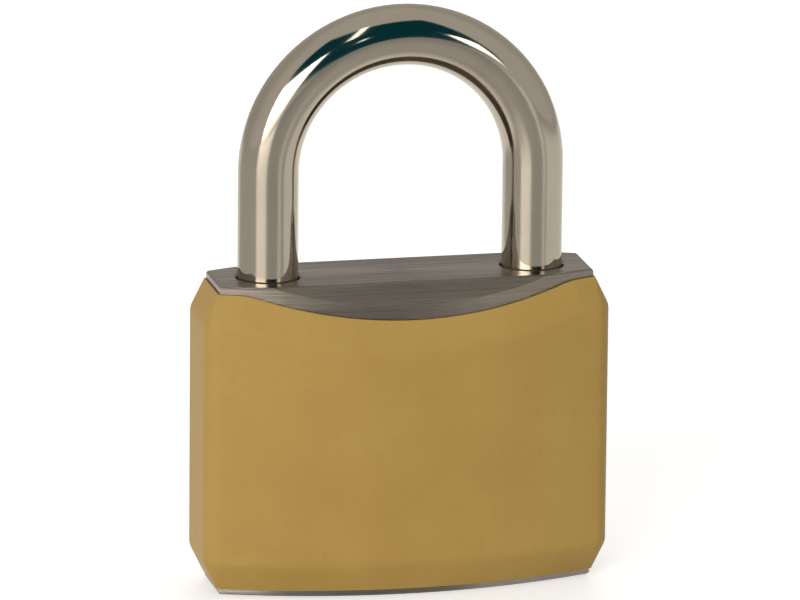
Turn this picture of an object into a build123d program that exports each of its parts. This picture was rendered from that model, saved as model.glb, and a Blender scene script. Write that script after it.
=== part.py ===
# Padlock: convex metal block in a moulded jacket, round-wire shackle, two bolts and a pin-tumbler core.
# Millimetres. X to the right, -Y to the front, +Z up; origin at the middle of the block's flat bottom.
# Shown closed with the bolts drawn in, as the right key leaves it; turning the core back throws the bolts.
import os
from math import cos, radians, sin

from build123d import *

os.makedirs("parts", exist_ok=True)

# Metal block
block_width = 40.0
block_height = 33.3
side_thick = 6.9
middle_thick = 14.3
slope_depth = 2.05
edge_break = 0.2

# Jacket
jacket_side = 1.7
jacket_face = 1.4
jacket_lip = 0.2
taper_height = 3.0
taper_round = 2.0
jacket_corner = 2.3
foot_strip = 0.7
head_strip = 0.85
dip_margin = 2.7
dip_depth = 2.75
dip_round = 8.0

# Shackle
wire = 6.4
leg_margin = 5.85
leg_rise = 11.1
toe_depth = 10.5
lift_spare = 1.0
toe_nose = 2.3
heel_collar = 3.0
catch_flat = 0.9
catch_dia = 2.0

# Bolts
bolt_dia = 4.6
bolt_throw = 1.5
tail_wall = 1.0
bolt_spring_length = 3.0
drive_pin_dia = 1.2

# Core and pins
core_dia = 9.0
core_recess = 0.3
first_pin = 3.6
pin_pitch = 2.9
pin_dia = 2.2
pin_travel = 0.8
driver_length = 4.0
pin_spring_length = 4.4
key_cuts = (0.9, 0.4, 1.1, 0.2, 0.7)
spring_thick = 0.3
hold_dia = 1.5
disc_thick = 2.0
keyway_width = 1.3
shackle_spring_length = 5.5

# Clearances
run = 0.05
leg_gap = 0.16
press = 0.01
jacket_gap = 0.05
nose_gap = 0.15
notch_gap = 0.2
slot_gap = 0.15
end_gap = 0.1

# Worked out from the sizes above
block_plan = (block_width, side_thick, middle_thick)
swell = (middle_thick - side_thick) / 2
swell_r = ((block_width / 2) ** 2 + swell**2) / (2 * swell)
jacket_width = block_width + 2 * jacket_side
jacket_end = side_thick + 2 * jacket_face
jacket_middle = middle_thick + 2 * jacket_face
jacket_swell = (jacket_middle - jacket_end) / 2
jacket_swell_r = ((jacket_width / 2) ** 2 + jacket_swell**2) / (2 * jacket_swell)
jacket_top = block_height - head_strip
shoulder_z = jacket_top - taper_height
dip_z = jacket_top - dip_depth
dip_x = block_width / 2 - dip_margin
wire_r = wire / 2
leg_x = block_width / 2 - leg_margin
leg_bore_r = wire_r + leg_gap
arch_z = block_height + leg_rise
lift = toe_depth + lift_spare
bolt_r = bolt_dia / 2
bolt_bore_r = bolt_r + run
notch_half = bolt_r + notch_gap
toe_tip = block_height - toe_depth
bolt_z = toe_tip + toe_nose + notch_half
notch_depth = bolt_throw - nose_gap + notch_gap
groove_z = bolt_z - lift
collar_top = groove_z - notch_half
heel_tip = collar_top - heel_collar
heel_bore_floor = heel_tip - shackle_spring_length
catch_r = catch_dia / 2
catch_z = collar_top + lift + catch_r + run
catch_x = leg_x + wire_r - catch_flat + run + catch_r
core_r = core_dia / 2
core_bore_r = core_r + run
pin_r = pin_dia / 2
pin_bore_r = pin_r + run
pin_levels = [first_pin + pin_pitch * i for i in range(len(key_cuts))]
last_pin = pin_levels[-1]
key_pin_end = (core_r**2 - pin_r**2) ** 0.5 - press
key_pin_floor = min(key_cuts) - pin_travel - end_gap
hold_r = hold_dia / 2
hold_z = last_pin + pin_bore_r + 0.35 + hold_r
hold_x = core_r + hold_r / 3
core_top = hold_z + hold_r + 0.85
disc_top = core_top + disc_thick
core_bore_top = disc_top + 0.3
drive_pin_r = drive_pin_dia / 2
drive_angle = 45.0
drive_x = bolt_throw / 2
drive_radius = drive_x / cos(radians(drive_angle))
drive_y = drive_radius * sin(radians(drive_angle))
drive_top = bolt_z - 0.4
nose_x = leg_x - wire_r - nose_gap
tail_end = drive_x + drive_pin_r + slot_gap + tail_wall
bolt_inner = tail_end + bolt_spring_length
shear_x = core_r + run + press
driver_end = shear_x + driver_length
chamber_floor = driver_end + pin_spring_length
plug_face = block_width / 2 - end_gap


def lens_plan(width, side, middle, corner):
    """Plan outline: flat narrow sides, convex front and back, optional rounded corners."""
    swell = (middle - side) / 2
    radius = ((width / 2) ** 2 + swell**2) / (2 * swell)
    with BuildSketch() as plan:
        Rectangle(width, middle)
        with Locations((0, middle / 2 - radius)):
            Circle(radius, mode=Mode.INTERSECT)
        with Locations((0, radius - middle / 2)):
            Circle(radius, mode=Mode.INTERSECT)
        if corner > 0:
            fillet(plan.vertices(), corner)
    return plan.sketch


def block_half(x):
    """Half the block's thickness at a distance x from its middle."""
    return middle_thick / 2 - swell_r + (swell_r**2 - x**2) ** 0.5


# Metal block with its bores
with BuildPart() as lock_body:
    with BuildSketch(Plane.XY):
        add(lens_plan(*block_plan, 0))
    extrude(amount=block_height)
    with BuildSketch(Plane.YZ.offset(-block_width)):
        with BuildLine():
            Polyline(
                (middle_thick / 2 - slope_depth, block_height),
                (middle_thick / 2 + slope_depth, block_height),
                (middle_thick / 2 + slope_depth, block_height - 2 * slope_depth),
                close=True,
            )
        make_face()
        mirror(about=Plane.YZ)
    extrude(amount=2 * block_width, mode=Mode.SUBTRACT)
    top_rim = lock_body.faces().sort_by(Axis.Z)[-1].outer_wire().edges()
    foot_rim = lock_body.faces().sort_by(Axis.Z)[0].outer_wire().edges()
    chamfer(top_rim + foot_rim, edge_break)
    with BuildSketch(Plane.XY.offset(heel_bore_floor)):
        with Locations((-leg_x, 0)):
            Circle(leg_bore_r)
    extrude(amount=block_height, mode=Mode.SUBTRACT)
    with BuildSketch(Plane.XY.offset(toe_tip - leg_gap)):
        with Locations((leg_x, 0)):
            Circle(leg_bore_r)
    extrude(amount=block_height, mode=Mode.SUBTRACT)
    chamfer(lock_body.faces().sort_by(Axis.Z)[-1].inner_wires().edges(), edge_break)
    with BuildSketch(Plane.YZ.offset(-leg_x)):
        with Locations((0, bolt_z)):
            Circle(bolt_bore_r)
    extrude(amount=leg_x + block_width, mode=Mode.SUBTRACT)
    with BuildSketch(Plane.XY):
        Circle(core_bore_r)
    extrude(amount=core_bore_top, mode=Mode.SUBTRACT)
    with BuildSketch(Plane.XY.offset(disc_top)):
        Circle(drive_radius + drive_pin_r + slot_gap)
    extrude(amount=bolt_z - disc_top, mode=Mode.SUBTRACT)
    with BuildSketch(Plane.YZ):
        with Locations(*[(0, z) for z in pin_levels]):
            Circle(pin_bore_r)
    extrude(amount=block_width, mode=Mode.SUBTRACT)
    with BuildSketch(Plane.XZ.offset(side_thick / 2)):
        with Locations((-catch_x, catch_z)):
            Circle(catch_r + press)
        with Locations((-hold_x, hold_z)):
            Circle(hold_r + press)
    extrude(amount=-middle_thick, mode=Mode.SUBTRACT)
lock_body.part.label = "lock_body"
export_step(lock_body.part, "parts/lock_body.step")

# What the jacket's front loses along the dip, where its wall thins to a lip
taper_half = jacket_width / 2 + 1
taper_foot = (jacket_face, dip_z - taper_height, jacket_swell_r)
taper_rim = (jacket_lip, dip_z, swell_r)
taper_above = (jacket_lip, dip_z + taper_height, swell_r)
with BuildPart() as front_loss:
    for pair in ((taper_foot, taper_rim), (taper_rim, taper_above)):
        for wall, z, radius in pair:
            sag = (radius - (radius**2 - taper_half**2) ** 0.5) * 2**0.5
            start = (0, -middle_thick / 2 - wall, z)
            with BuildSketch(Plane(origin=start, x_dir=(1, 0, 0), z_dir=(0, -1, 1))):
                with BuildLine():
                    ThreePointArc((-taper_half, sag), (0, 0), (taper_half, sag))
                    Polyline(
                        (taper_half, sag),
                        (taper_half, -block_width),
                        (-taper_half, -block_width),
                        (-taper_half, sag),
                    )
                make_face()
        loft(ruled=True)

# Jacket: a sleeve with tapered edges and a dip in its upper edge, front and back
rim_plan = [size + 2 * jacket_lip for size in block_plan]
wall_plan = (jacket_width, jacket_end, jacket_middle)
hollow_plan = [size + 2 * jacket_gap for size in block_plan]
with BuildPart() as jacket:
    with BuildSketch(Plane.XY.offset(foot_strip)):
        add(lens_plan(*rim_plan, jacket_lip))
    with BuildSketch(Plane.XY.offset(foot_strip + taper_height)):
        add(lens_plan(*wall_plan, jacket_corner))
    loft(ruled=True)
    with BuildSketch(Plane.XY.offset(foot_strip + taper_height)):
        add(lens_plan(*wall_plan, jacket_corner))
    extrude(amount=shoulder_z - foot_strip - taper_height)
    with BuildSketch(Plane.XY.offset(shoulder_z)):
        add(lens_plan(*wall_plan, jacket_corner))
    with BuildSketch(Plane.XY.offset(jacket_top)):
        add(lens_plan(*rim_plan, jacket_lip))
    loft(ruled=True)
    for level in (foot_strip + taper_height, shoulder_z):
        fillet(jacket.edges().filter_by_position(Axis.Z, level - press, level + press), taper_round)
    with BuildSketch(Plane.XZ) as face_view:
        with BuildLine():
            dip = ThreePointArc((-dip_x, jacket_top), (0, dip_z), (dip_x, jacket_top))
            Polyline(
                dip @ 1,
                (jacket_width / 2, jacket_top),
                (jacket_width / 2, 0),
                (-jacket_width / 2, 0),
                (-jacket_width / 2, jacket_top),
                dip @ 0,
            )
        make_face()
        fillet(face_view.vertices().group_by(Axis.Y)[-1].sort_by(Axis.X)[1:3], dip_round)
    extrude(amount=jacket_middle, both=True, mode=Mode.INTERSECT)
    add(front_loss.part, mode=Mode.SUBTRACT)
    add(front_loss.part.mirror(Plane.XZ), mode=Mode.SUBTRACT)
    dip_foot = dip_z - taper_height
    dip_creases = jacket.edges().filter_by_position(Axis.Z, dip_foot - run, shoulder_z - taper_round / 2)
    fillet(dip_creases, taper_round)
    with BuildSketch(Plane.XY):
        add(lens_plan(*hollow_plan, 0))
    extrude(amount=block_height, mode=Mode.SUBTRACT)
jacket.part.label = "jacket"
export_step(jacket.part, "parts/jacket.step")

# Shackle: long heel leg at the left, short toe leg at the right
with BuildPart() as shackle:
    with BuildLine(Plane.XZ) as bend:
        Line((-leg_x, heel_tip), (-leg_x, arch_z))
        ThreePointArc((-leg_x, arch_z), (0, arch_z + leg_x), (leg_x, arch_z))
        Line((leg_x, arch_z), (leg_x, toe_tip))
    with BuildSketch(Plane.XY.offset(heel_tip)):
        with Locations((-leg_x, 0)):
            Circle(wire_r)
    sweep(path=bend.wires()[0])
    chamfer(shackle.faces().sort_by(Axis.Z)[0].edges(), edge_break)
    chamfer(shackle.faces().filter_by(Axis.Z).sort_by(Axis.X)[-1].edges(), 3 * edge_break)
    with BuildSketch(Plane.XZ.offset(-wire)):
        with Locations((-leg_x + wire_r, bolt_z), (leg_x - wire_r, bolt_z)):
            Rectangle(2 * notch_depth, 2 * notch_half)
        with Locations((-leg_x - wire_r, (collar_top + catch_z + catch_r + notch_gap) / 2)):
            Rectangle(2 * catch_flat, catch_z + catch_r + notch_gap - collar_top)
    extrude(amount=2 * wire, mode=Mode.SUBTRACT)
    with BuildSketch(Plane.XY.offset(collar_top)):
        with Locations((-leg_x, 0)):
            Circle(wire)
            Circle(wire_r - notch_depth, mode=Mode.SUBTRACT)
    extrude(amount=2 * notch_half, mode=Mode.SUBTRACT)
shackle.part.label = "shackle"
export_step(shackle.part, "parts/shackle.step")

# Spring under the heel leg
shackle_coil = 0.7
with BuildPart() as shackle_spring:
    with BuildLine():
        heel_path = Helix(
            pitch=(shackle_spring_length - shackle_coil) / 4,
            height=shackle_spring_length - shackle_coil - 2 * press,
            radius=wire_r - shackle_coil,
            center=(-leg_x, 0, heel_bore_floor + press + shackle_coil / 2),
        )
    with BuildSketch(Plane(origin=heel_path @ 0, z_dir=heel_path % 0)):
        Circle(shackle_coil / 2)
    sweep(path=heel_path, is_frenet=True)
shackle_spring.part.label = "shackle_spring"
export_step(shackle_spring.part, "parts/shackle_spring.step")

# Cross pin that stops the heel leg
with BuildPart() as shackle_retaining_pin:
    with BuildSketch(Plane.XZ.offset(side_thick / 2 - end_gap)):
        with Locations((-catch_x, catch_z)):
            Circle(catch_r)
    extrude(amount=end_gap - side_thick / 2 - block_half(catch_x + catch_r) + end_gap)
    chamfer(shackle_retaining_pin.edges().filter_by(GeomType.CIRCLE), edge_break)
shackle_retaining_pin.part.label = "shackle_retaining_pin"
export_step(shackle_retaining_pin.part, "parts/shackle_retaining_pin.step")

# Heel bolt: round nose, half-round tail with a slot for its drive pin
with BuildPart() as heel_bolt:
    with BuildSketch(Plane.YZ.offset(-nose_x)):
        with Locations((0, bolt_z)):
            Circle(bolt_r)
    extrude(amount=nose_x + tail_end)
    chamfer(heel_bolt.faces().sort_by(Axis.X)[0].edges(), 3 * edge_break)
    with BuildSketch(Plane.XY):
        with Locations((-bolt_inner, -end_gap)):
            Rectangle(bolt_inner + bolt_dia, bolt_dia, align=(Align.MIN, Align.MIN))
    extrude(amount=block_height, mode=Mode.SUBTRACT)
    with BuildSketch(Plane.XZ):
        with Locations((tail_end - tail_wall, bolt_z - end_gap)):
            Rectangle(
                bolt_throw + 2 * slot_gap + drive_pin_dia, bolt_dia, align=(Align.MAX, Align.MAX)
            )
    extrude(amount=bolt_dia, mode=Mode.SUBTRACT)
heel_bolt.part.label = "heel_bolt"
export_step(heel_bolt.part, "parts/heel_bolt.step")

# Toe bolt: the same piece turned half round
with BuildPart() as toe_bolt:
    add(heel_bolt.part.rotate(Axis.Z, 180))
toe_bolt.part.label = "toe_bolt"
export_step(toe_bolt.part, "parts/toe_bolt.step")

# Two small springs that push the bolts apart
with BuildPart() as bolt_springs:
    with BuildLine():
        bolt_path = Helix(
            pitch=(bolt_spring_length - spring_thick) / 3,
            height=bolt_spring_length - spring_thick - 2 * press,
            radius=bolt_r / 2 - end_gap - spring_thick,
            center=(tail_end + press + spring_thick / 2, -bolt_r / 2, bolt_z),
            direction=(1, 0, 0),
        )
    with BuildSketch(Plane(origin=bolt_path @ 0, z_dir=bolt_path % 0)):
        Circle(spring_thick / 2)
    sweep(path=bolt_path, is_frenet=True)
    add(bolt_springs.part.rotate(Axis.Z, 180))
bolt_springs.part.label = "bolt_springs"
export_step(bolt_springs.part, "parts/bolt_springs.step")

# Plug in the bolts' bore, beside the toe leg
with BuildPart() as bolt_bore_plug:
    with BuildSketch(Plane.YZ.offset(leg_x + leg_bore_r + end_gap)):
        with Locations((0, bolt_z)):
            Circle(bolt_bore_r - press)
    extrude(amount=plug_face - leg_x - leg_bore_r - end_gap)
bolt_bore_plug.part.label = "bolt_bore_plug"
export_step(bolt_bore_plug.part, "parts/bolt_bore_plug.step")

# Core with a stepped keyway, pin holes and a groove for its retaining pin
tongue_depth = 1.0
tongue_length = 5.0
tongue_width = 2.0
with BuildPart() as core:
    with BuildSketch(Plane.XY.offset(core_recess)):
        Circle(core_r)
    extrude(amount=core_top - core_recess)
    chamfer(core.edges(), edge_break)
    with BuildSketch(Plane.XY.offset(hold_z - hold_r - run)):
        Circle(core_dia)
        Circle(hold_x - hold_r - run, mode=Mode.SUBTRACT)
    extrude(amount=2 * (hold_r + run), mode=Mode.SUBTRACT)
    with BuildSketch(Plane.XY.offset(core_recess)):
        with Locations((-core_r * 0.42, keyway_width / 4)):
            Rectangle(core_r * 0.65, keyway_width)
        with Locations((core_r * 0.22, -keyway_width / 4)):
            Rectangle(core_r * 0.75, keyway_width)
    extrude(amount=last_pin + pin_r - core_recess, mode=Mode.SUBTRACT)
    with BuildSketch(Plane.YZ.offset(key_pin_floor)):
        with Locations(*[(0, z) for z in pin_levels]):
            Circle(pin_bore_r)
    extrude(amount=core_dia, mode=Mode.SUBTRACT)
    with BuildSketch(Plane.XY.offset(core_top)):
        Rectangle(tongue_length + 2 * run, tongue_width + 2 * run)
    extrude(amount=-tongue_depth - run, mode=Mode.SUBTRACT)
core.part.label = "core"
export_step(core.part, "parts/core.step")

# Disc on the core's end, with a tongue below and two drive pins above
with BuildPart() as core_driver:
    with BuildSketch(Plane.XY.offset(core_top)):
        Circle(core_r - end_gap)
    extrude(amount=disc_thick)
    with BuildSketch(Plane.XY.offset(core_top)):
        Rectangle(tongue_length, tongue_width)
    extrude(amount=-tongue_depth)
    with BuildSketch(Plane.XY.offset(disc_top)):
        with Locations((drive_x, -drive_y), (-drive_x, drive_y)):
            Circle(drive_pin_r)
    extrude(amount=drive_top - disc_top)
core_driver.part.label = "core_driver"
export_step(core_driver.part, "parts/core_driver.step")

# Cross pin that keeps the core in
with BuildPart() as core_retaining_pin:
    with BuildSketch(Plane.XZ.offset(side_thick / 2 - end_gap)):
        with Locations((-hold_x, hold_z)):
            Circle(hold_r)
    extrude(amount=end_gap - side_thick / 2 - block_half(hold_x + hold_r) + end_gap)
    chamfer(core_retaining_pin.edges().filter_by(GeomType.CIRCLE), edge_break)
core_retaining_pin.part.label = "core_retaining_pin"
export_step(core_retaining_pin.part, "parts/core_retaining_pin.step")

# Key pins, each as long as its cut in the key asks, with blunt cone tips
for number, (cut, z) in enumerate(zip(key_cuts, pin_levels), start=1):
    with BuildPart() as key_pin:
        with BuildSketch(Plane.YZ.offset(cut)):
            with Locations((0, z)):
                Circle(pin_r)
        extrude(amount=key_pin_end - cut)
        chamfer(key_pin.faces().sort_by(Axis.X)[0].edges(), pin_r / 2)
    key_pin.part.label = f"key_pin_{number}"
    export_step(key_pin.part, f"parts/key_pin_{number}.step")

# Driver pins, with softened ends
for number, z in enumerate(pin_levels, start=1):
    with BuildPart() as driver_pin:
        with BuildSketch(Plane.YZ.offset(shear_x)):
            with Locations((0, z)):
                Circle(pin_r)
        extrude(amount=driver_length)
        chamfer(driver_pin.edges().filter_by(GeomType.CIRCLE), edge_break)
    driver_pin.part.label = f"driver_pin_{number}"
    export_step(driver_pin.part, f"parts/driver_pin_{number}.step")

# Springs behind the driver pins
for number, z in enumerate(pin_levels, start=1):
    with BuildPart() as pin_spring:
        with BuildLine():
            pin_path = Helix(
                pitch=(pin_spring_length - spring_thick) / 5,
                height=pin_spring_length - spring_thick - 2 * press,
                radius=pin_r - spring_thick,
                center=(driver_end + press + spring_thick / 2, 0, z),
                direction=(1, 0, 0),
            )
        with BuildSketch(Plane(origin=pin_path @ 0, z_dir=pin_path % 0)):
            Circle(spring_thick / 2)
        sweep(path=pin_path, is_frenet=True)
    pin_spring.part.label = f"pin_spring_{number}"
    export_step(pin_spring.part, f"parts/pin_spring_{number}.step")

# Plugs that close the pin chambers
with BuildPart() as chamber_plugs:
    with BuildSketch(Plane.YZ.offset(chamber_floor)):
        with Locations(*[(0, z) for z in pin_levels]):
            Circle(pin_bore_r - press)
    extrude(amount=plug_face - chamber_floor)
chamber_plugs.part.label = "chamber_plugs"
export_step(chamber_plugs.part, "parts/chamber_plugs.step")
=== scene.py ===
import math

import bpy
from mathutils import Matrix, Quaternion, Vector


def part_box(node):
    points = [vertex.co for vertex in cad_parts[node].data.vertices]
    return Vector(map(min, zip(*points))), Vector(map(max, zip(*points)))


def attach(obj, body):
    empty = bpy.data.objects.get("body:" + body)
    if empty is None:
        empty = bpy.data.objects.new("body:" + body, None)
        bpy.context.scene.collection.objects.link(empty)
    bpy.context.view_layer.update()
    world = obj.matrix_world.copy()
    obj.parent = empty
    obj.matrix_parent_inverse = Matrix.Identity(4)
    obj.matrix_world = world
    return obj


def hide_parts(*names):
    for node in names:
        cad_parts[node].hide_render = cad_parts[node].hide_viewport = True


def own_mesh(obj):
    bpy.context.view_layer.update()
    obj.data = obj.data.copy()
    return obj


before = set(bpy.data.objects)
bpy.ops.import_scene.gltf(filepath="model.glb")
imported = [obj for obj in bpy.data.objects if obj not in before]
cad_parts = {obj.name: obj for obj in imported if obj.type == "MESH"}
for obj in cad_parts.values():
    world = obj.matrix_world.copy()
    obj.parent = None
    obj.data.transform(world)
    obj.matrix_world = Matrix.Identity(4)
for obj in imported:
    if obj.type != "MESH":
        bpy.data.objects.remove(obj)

# A new file's own cube, lamp and camera are cleared away
for spare in ("Cube", "Light", "Camera"):
    if spare in bpy.data.objects:
        bpy.data.objects.remove(bpy.data.objects[spare], do_unlink=True)
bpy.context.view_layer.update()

MM = 0.001
BLOCK_TOP = 33.3 * MM
OBJECT_COORDINATES = 3


class Link:
    """A socket of a finish. Sums on it add Math nodes."""

    def __init__(self, finish, socket):
        self.finish = finish
        self.socket = socket

    def reckon(self, operation, first, second):
        return self.finish.node("ShaderNodeMath", {"operation": operation}, {0: first, 1: second})

    def __add__(self, other):
        return self.reckon("ADD", self, other)

    def __radd__(self, other):
        return self.reckon("ADD", other, self)

    def __sub__(self, other):
        return self.reckon("SUBTRACT", self, other)

    def __rsub__(self, other):
        return self.reckon("SUBTRACT", other, self)

    def __mul__(self, other):
        return self.reckon("MULTIPLY", self, other)

    def __rmul__(self, other):
        return self.reckon("MULTIPLY", other, self)


class Finish:
    """The nodes of one material, or of the world."""

    def __init__(self, tree):
        self.tree = tree
        tree.nodes.clear()

    def node(self, kind, settings=None, sockets=None, output=0):
        made = self.tree.nodes.new(kind)
        for name, value in (settings or {}).items():
            setattr(made, name, value)
        for name, value in (sockets or {}).items():
            if isinstance(value, Link):
                self.tree.links.new(value.socket, made.inputs[name])
            else:
                made.inputs[name].default_value = value
        return Link(self, made.outputs[output]) if made.outputs else None

    def place(self, scale=(1, 1, 1), turn=(0, 0, 0)):
        here = self.node("ShaderNodeTexCoord", output=OBJECT_COORDINATES)
        sockets = {"Vector": here, "Rotation": turn, "Scale": scale}
        return self.node("ShaderNodeMapping", {"vector_type": "POINT"}, sockets)

    def along(self, axis):
        here = self.node("ShaderNodeTexCoord", output=OBJECT_COORDINATES)
        return self.node("ShaderNodeSeparateXYZ", None, {0: here}, output="XYZ".index(axis))

    def cloud(self, scale, detail=2.0, where=None):
        where = where or self.place()
        sockets = {"Vector": where, "Scale": scale, "Detail": detail, "Roughness": 0.5}
        return self.node("ShaderNodeTexNoise", None, sockets)

    def step(self, value, low, high):
        settings = {"interpolation_type": "SMOOTHSTEP"}
        return self.node("ShaderNodeMapRange", settings, {0: value, 1: low, 2: high, 3: 0.0, 4: 1.0})

    def tint(self, factor, first, second):
        colours = {}
        for name, colour in ((6, first), (7, second)):
            colours[name] = colour if isinstance(colour, Link) else (*colour, 1.0)
        settings = {"data_type": "RGBA", "blend_type": "MIX"}
        return self.node("ShaderNodeMix", settings, {0: factor, **colours}, output=2)

    def relief(self, height, depth, strength=1.0, over=None):
        sockets = {"Strength": strength, "Distance": depth, "Height": height}
        if over:
            sockets["Normal"] = over
        return self.node("ShaderNodeBump", None, sockets)

    def surface(self, **sockets):
        named = {}
        for name, value in sockets.items():
            named[name.replace("_", " ")] = value
        shader = self.node("ShaderNodeBsdfPrincipled", None, named)
        self.node("ShaderNodeOutputMaterial", None, {"Surface": shader})


def new_finish(name):
    material = bpy.data.materials.new(name)
    material.use_nodes = True
    return material, Finish(material.node_tree)


def moulded_jacket():
    """Mustard plastic from a fine spark-eroded mould, a little clouded."""
    material, f = new_finish("jacket_moulded_plastic")
    deep_mustard = (0.397, 0.249, 0.068)
    pale_mustard = (0.425, 0.271, 0.076)
    fleck_brown = (0.36, 0.217, 0.053)
    clouds = f.cloud(110, detail=3.0)
    flecks = f.cloud(900)
    grain = f.cloud(2600)
    colour = f.tint(f.step(clouds, 0.3, 0.7), deep_mustard, pale_mustard)
    colour = f.tint(f.step(flecks, 0.55, 0.75) * 0.25, colour, fleck_brown)
    f.surface(
        Base_Color=colour,
        Roughness=0.37 + 0.10 * clouds + 0.08 * grain,
        Specular_IOR_Level=0.13,
        Normal=f.relief(grain, 0.03 * MM, 0.5),
    )
    return material


def brushed_block():
    """Satin plated metal, brushed along the width on every face."""
    material, f = new_finish("block_brushed_metal")
    dark_plating = (0.219, 0.188, 0.154)
    light_plating = (0.281, 0.242, 0.197)
    score_dark = (0.120, 0.102, 0.085)
    foot_painted_shade = (0.06, 0.055, 0.040)
    x, y, z = (f.along(axis) for axis in "XYZ")
    top = f.step(z, BLOCK_TOP - 0.12 * MM, BLOCK_TOP - 0.02 * MM)
    flat = top + 1 - f.step(z, 0.02 * MM, 0.10 * MM)

    # On the flat top and bottom the streaks are spread over the depth, and wider so that they show
    def brush(along, across):
        flat_across = 0.3 * across
        across_face = {0: x * along, 1: y * flat * flat_across, 2: z * across}
        return f.cloud(1.0, detail=3.0, where=f.node("ShaderNodeCombineXYZ", None, across_face))

    bands = brush(9, 1000)
    lines = brush(28, 4600)
    hairs = brush(80, 11000)
    patches = f.cloud(160, detail=3.0)
    tone = f.step(0.55 * bands + 0.45 * lines, 0.32, 0.68)
    colour = f.tint(tone, dark_plating, light_plating)
    scores = f.step(0.5 * lines + 0.5 * hairs, 0.46, 0.58)
    colour = f.tint(flat * scores * 0.6, colour, score_dark)
    # Painted shade: the foot is darkened from near its left end to just right of the middle, standing in for
    # the dark floor it reflects there
    foot = 1 - f.step(z, 0.4 * MM, 1.2 * MM)
    painted_shade_span = f.step(x, -17.5 * MM, -13 * MM) * (1 - f.step(x, 4 * MM, 9 * MM))
    colour = f.tint(foot * painted_shade_span * 0.55, colour, foot_painted_shade)
    f.surface(
        Base_Color=colour,
        Metallic=1.0,
        Roughness=0.19 + 0.07 * lines + 0.06 * patches,
        Anisotropic=0.85,
        Anisotropic_Rotation=0.25,
        Normal=f.relief(hairs, 0.035 * MM, over=f.relief(lines, 0.016 * MM)),
    )
    return material


def polished_shackle():
    """Bright plating over polished wire, with faint smears and hairlines."""
    material, f = new_finish("shackle_bright_plating")
    dark_plating = (0.430, 0.377, 0.303)
    light_plating = (0.458, 0.402, 0.324)
    smears = f.cloud(220, detail=3.0)
    hairs = f.cloud(1.0, where=f.place(scale=(2500, 2500, 260), turn=(0.3, 0.2, 0)))
    colour = f.tint(f.step(smears, 0.3, 0.7), dark_plating, light_plating)
    f.surface(
        Base_Color=colour,
        Metallic=1.0,
        Roughness=0.05 + 0.05 * f.step(smears, 0.35, 0.8) + 0.03 * hairs,
        Normal=f.relief(hairs, 0.002 * MM, 0.3),
    )
    return material


def turned_brass(name, marks_scale):
    """Brass with fine tool marks and a little tarnish."""
    material, f = new_finish(name)
    clean_brass = (0.62, 0.44, 0.185)
    dull_brass = (0.44, 0.30, 0.125)
    tarnish = f.cloud(420, detail=4.0)
    marks = f.cloud(1.0, where=f.place(scale=marks_scale))
    colour = f.tint(f.step(tarnish, 0.35, 0.75), clean_brass, dull_brass)
    f.surface(
        Base_Color=colour,
        Metallic=1.0,
        Roughness=0.24 + 0.16 * tarnish + 0.08 * marks,
        Normal=f.relief(marks, 0.02 * MM, 0.5),
    )
    return material


def ground_steel():
    """Hardened steel, ground all over."""
    material, f = new_finish("ground_steel")
    dark_steel = (0.40, 0.40, 0.405)
    light_steel = (0.49, 0.485, 0.48)
    marks = f.cloud(1.0, detail=3.0, where=f.place(scale=(4200, 380, 4200)))
    patches = f.cloud(350, detail=3.0)
    colour = f.tint(f.step(patches, 0.3, 0.7), dark_steel, light_steel)
    f.surface(
        Base_Color=colour,
        Metallic=1.0,
        Roughness=0.22 + 0.14 * marks,
        Normal=f.relief(marks, 0.015 * MM, 0.5),
    )
    return material


def drawn_wire():
    """Spring wire, finely mottled."""
    material, f = new_finish("drawn_spring_wire")
    dark_wire = (0.42, 0.42, 0.44)
    light_wire = (0.56, 0.56, 0.57)
    mottle = f.cloud(2400, detail=3.0)
    colour = f.tint(f.step(mottle, 0.3, 0.7), dark_wire, light_wire)
    f.surface(
        Base_Color=colour,
        Metallic=1.0,
        Roughness=0.28 + 0.15 * mottle,
        Normal=f.relief(mottle, 0.01 * MM, 0.4),
    )
    return material


FINISHES = {
    "block": brushed_block(),
    "jacket": moulded_jacket(),
    "shackle": polished_shackle(),
    "core": turned_brass("core_turned_brass", (3200, 3200, 500)),
    "pin": turned_brass("pin_turned_brass", (5200, 900, 900)),
    "steel": ground_steel(),
    "spring": drawn_wire(),
}
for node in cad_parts.values():
    for place in node.material_slots:
        place.material = FINISHES[place.material.name.split(".")[0]]


PIN_COUNT = 5
SPRING_WIRE = 0.3 * MM
SPRING_TURNS = 5
WIRE_SIDES = 12
STEPS_A_TURN = 24
SMOOTH_ANGLE = math.radians(40)


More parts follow.
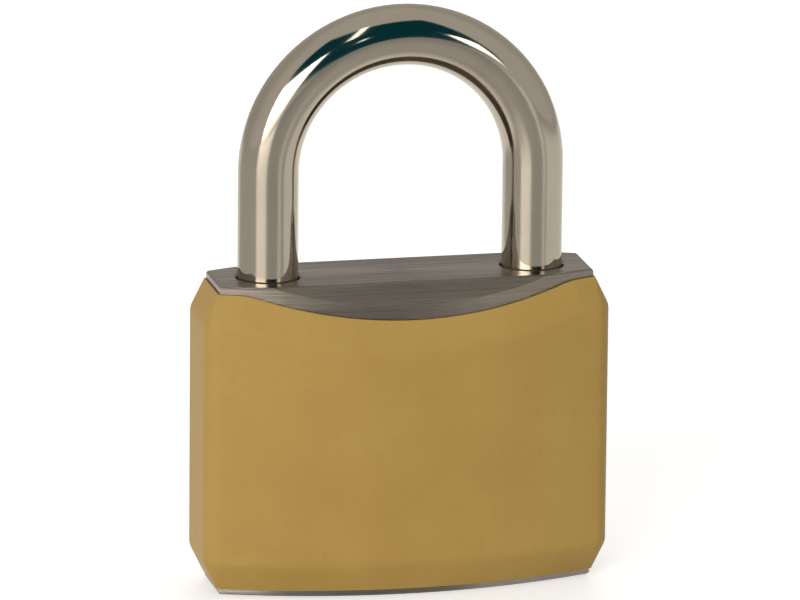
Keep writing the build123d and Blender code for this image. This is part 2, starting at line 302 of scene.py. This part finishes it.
def pin_spring_coil(number):
    """A driver pin's spring, wound as a coil of wire in the space of its part."""
    low, high = (Vector(corner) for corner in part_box(f"pin_spring_{number}"))
    middle = (low + high) / 2
    length = high.x - low.x
    coil_radius = (high.z - low.z - SPRING_WIRE) / 2
    free_end = (low.x + SPRING_WIRE / 2, middle.y, middle.z)
    bpy.ops.object.select_all(action="DESELECT")
    bpy.ops.mesh.primitive_circle_add(vertices=WIRE_SIDES, radius=SPRING_WIRE / 2, location=free_end)
    coil = bpy.context.object
    coil.name = f"pin_spring_coil_{number}"
    bpy.ops.object.mode_set(mode="EDIT")
    bpy.ops.mesh.select_all(action="SELECT")
    bpy.ops.transform.translate(value=(0, coil_radius, 0))
    bpy.ops.object.mode_set(mode="OBJECT")
    winding = coil.modifiers.new("winding", "SCREW")
    winding.axis = "X"
    winding.iterations = SPRING_TURNS
    winding.screw_offset = (length - SPRING_WIRE) / SPRING_TURNS
    winding.steps = STEPS_A_TURN
    winding.render_steps = STEPS_A_TURN
    bpy.ops.object.modifier_apply(modifier=winding.name)
    bpy.ops.object.mode_set(mode="EDIT")
    bpy.ops.mesh.select_all(action="SELECT")
    bpy.ops.mesh.remove_doubles(threshold=0.001 * MM)
    bpy.ops.mesh.fill_holes(sides=WIRE_SIDES)
    bpy.ops.mesh.normals_make_consistent(inside=False)
    bpy.ops.object.mode_set(mode="OBJECT")
    bpy.ops.object.transform_apply(location=True, rotation=True, scale=True)
    bpy.ops.object.shade_smooth_by_angle(angle=SMOOTH_ANGLE)
    coil.data.materials.append(FINISHES["spring"])
    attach(coil, "lock")
    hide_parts(f"pin_spring_{number}")
    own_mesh(coil)


for number in range(1, PIN_COUNT + 1):
    pin_spring_coil(number)


LAMP_WHITE = (1.03, 1.0, 0.96)
LAMP_AIM = Vector((0, 0, 35 * MM))


def softbox(name, towards, distance, width, height, brightness, turn=0.0, mirrored=True):
    """A flat lamp that faces the padlock from the given direction."""
    lamp = bpy.data.lights.new(name, "AREA")
    lamp.shape = "RECTANGLE"
    lamp.size = width
    lamp.size_y = height
    lamp.energy = brightness * math.pi * width * height
    lamp.color = LAMP_WHITE
    stand = bpy.data.objects.new(name, lamp)
    bpy.context.collection.objects.link(stand)
    stand.location = LAMP_AIM + towards * distance
    facing = towards.to_track_quat("Z", "Y") @ Quaternion((0, 0, 1), math.radians(turn))
    stand.rotation_euler = facing.to_euler()
    stand.visible_camera = False
    stand.visible_glossy = mirrored


def bearing(around, above):
    """The direction that lies so many degrees right of the front and above the level."""
    around = math.radians(around)
    above = math.radians(above)
    level = math.cos(above)
    return Vector((math.sin(around) * level, -math.cos(around) * level, math.sin(above)))


softbox("strip_lamp", bearing(-13, 53), distance=0.60, width=0.045, height=0.27, brightness=2.6, turn=6)
softbox("spot_lamp", bearing(0, 25), distance=0.60, width=0.025, height=0.05, brightness=2.0, turn=6)
softbox("rear_fill", bearing(160, 28), distance=0.80, width=0.40, height=0.40, brightness=3.6, mirrored=False)


def studio_world():
    """A pale tent all round, with its dark opening in front of the padlock. Angles are in degrees."""
    world = bpy.data.worlds.new("studio")
    world.use_nodes = True
    f = Finish(world.node_tree)
    front_cloth = (0.69, 0.685, 0.67)
    rear_cloth = (0.545, 0.52, 0.49)
    dark_teal = (0.004, 0.062, 0.088)
    opening_middle = 9.0
    sill_slope = 0.55
    sill_drop = 3.0
    sill_fade = (-5.0, 5.0)
    head_fade = (59.0, 65.0)
    left_fade = (-64.0, -57.0)
    right_fade = (39.0, 46.0)
    rear_fade = (80.0, 130.0)
    ceiling_fade = (35.0, 60.0)
    direction = f.node("ShaderNodeTexCoord", output=0)
    x, y, z = (f.node("ShaderNodeSeparateXYZ", None, {0: direction}, output=axis) for axis in range(3))
    around = f.node("ShaderNodeMath", {"operation": "ARCTAN2"}, {0: x, 1: 0 - y}) * math.degrees(1)
    above = f.node("ShaderNodeMath", {"operation": "ARCSINE"}, {0: z}) * math.degrees(1)
    off_middle = f.node("ShaderNodeMath", {"operation": "ABSOLUTE"}, {0: around - opening_middle})
    sill = off_middle * sill_slope - sill_drop
    opening = f.step(above - sill, *sill_fade) * (1 - f.step(above, *head_fade))
    opening = opening * f.step(around, *left_fade) * (1 - f.step(around, *right_fade))
    off_front = f.node("ShaderNodeMath", {"operation": "ABSOLUTE"}, {0: around})
    rear = f.step(off_front, *rear_fade) * (1 - f.step(above, *ceiling_fade))
    tent = f.tint(opening, f.tint(rear, front_cloth, rear_cloth), dark_teal)

    def panel(behind, middle, lean, left, right, low, high, brightness):
        """A lit cloth panel of the tent. Each edge fades between its two angles from the middle."""
        across = around - middle[0] + lean * (above - middle[1])
        up = above - middle[1] - lean * (around - middle[0])
        lit = f.step(across, *left) * (1 - f.step(across, *right))
        lit = lit * f.step(up, *low) * (1 - f.step(up, *high))
        return f.tint(lit, behind, [brightness * part for part in LAMP_WHITE])

    tent = panel(
        tent, middle=(-37.5, 14.5), lean=0.14, left=(-21, -18), right=(16, 22),
        low=(-18, 4), high=(13, 18), brightness=8.6,
    )
    tent = panel(
        tent, middle=(31.0, 13.5), lean=0.0, left=(-7, -4.5), right=(4.5, 7),
        low=(-7, 0), high=(7, 10), brightness=4.6,
    )
    seen = f.node("ShaderNodeLightPath", output=0)
    colour = f.tint(seen, tent, (1.0, 1.0, 1.0))
    light = f.node("ShaderNodeBackground", None, {"Color": colour, "Strength": 1.0})
    f.node("ShaderNodeOutputWorld", None, {"Surface": light})
    bpy.context.scene.world = world


studio_world()


def pale_floor():
    """A wide white table top that keeps the padlock's shadow. Mirrors see its glow only in two pools."""
    floor_size = 16
    floor_drop = 0.02 * MM
    floor_grey = (0.70, 0.70, 0.70, 1.0)
    glow_strength = 0.48
    right_hand_share = 0.62
    front_fade = (-45 * MM, -14 * MM)
    pool_fade = (0.75, 1.1)
    edge_right = 20 * MM
    edge_front = 30 * MM
    edge_fade = (2 * MM, 22 * MM)
    far_fade = (250 * MM, 900 * MM)
    pool_place = {
        "Location": (0.032, 0.136, 0),
        "Rotation": (0, 0, math.radians(77)),
        "Scale": (0.27, 0.11, 1.0),
    }
    bpy.ops.object.select_all(action="DESELECT")
    bpy.ops.mesh.primitive_plane_add(size=floor_size, location=(0, 0, -floor_drop))
    floor = bpy.context.object
    floor.name = "floor"
    material, f = new_finish("floor_white")
    path = f.node("ShaderNodeLightPath")
    ray_kinds = ("Is Camera Ray", "Is Glossy Ray", "Is Transmission Ray")
    camera, glossy, through = (Link(f, path.socket.node.outputs[kind]) for kind in ray_kinds)
    here = f.node("ShaderNodeTexCoord", output=OBJECT_COORDINATES)
    pool = f.node("ShaderNodeMapping", {"vector_type": "TEXTURE"}, {"Vector": here, **pool_place})
    reach = f.node("ShaderNodeVectorMath", {"operation": "LENGTH"}, {0: pool}, output=1)
    x, y = f.along("X"), f.along("Y")
    behind = f.step(y, *front_fade) * (1 - f.step(reach, *pool_fade))
    past_opening = f.step(0.73 * (x - edge_right) + 0.68 * (y + edge_front), *edge_fade)
    away = f.node("ShaderNodeVectorMath", {"operation": "LENGTH"}, {0: here}, output=1)
    right_hand = past_opening * (1 - f.step(away, *far_fade)) * right_hand_share
    pools = f.node("ShaderNodeMath", {"operation": "MAXIMUM"}, {0: behind, 1: right_hand})
    glow = (camera + (glossy + through) * pools) * glow_strength
    f.surface(
        Base_Color=floor_grey,
        Roughness=0.36,
        Specular_IOR_Level=0.22,
        Emission_Color=f.tint(glow, (0.0, 0.0, 0.0), (1.0, 1.0, 1.0)),
        Emission_Strength=1.0,
    )
    floor.data.materials.append(material)


pale_floor()


def photograph_camera():
    """A long lens, a little to the left of the front and above."""
    standpoint = (-0.21866, -0.94230, 0.28251)
    heading = math.radians(13.0666)
    tilt = math.radians(14.63)
    roll = math.radians(0.5475)
    lens = bpy.data.cameras.new("camera")
    lens.sensor_width = 36
    lens.lens = 429.66
    lens.clip_end = 100
    camera = bpy.data.objects.new("camera", lens)
    bpy.context.collection.objects.link(camera)
    camera.matrix_world = (
        Matrix.Translation(standpoint)
        @ Matrix.Rotation(-heading, 4, "Z")
        @ Matrix.Rotation(math.pi / 2 - tilt, 4, "X")
        @ Matrix.Rotation(roll, 4, "Z")
    )
    bpy.context.scene.camera = camera


photograph_camera()
bpy.context.scene.view_settings.view_transform = "Standard"

bpy.context.view_layer.update()
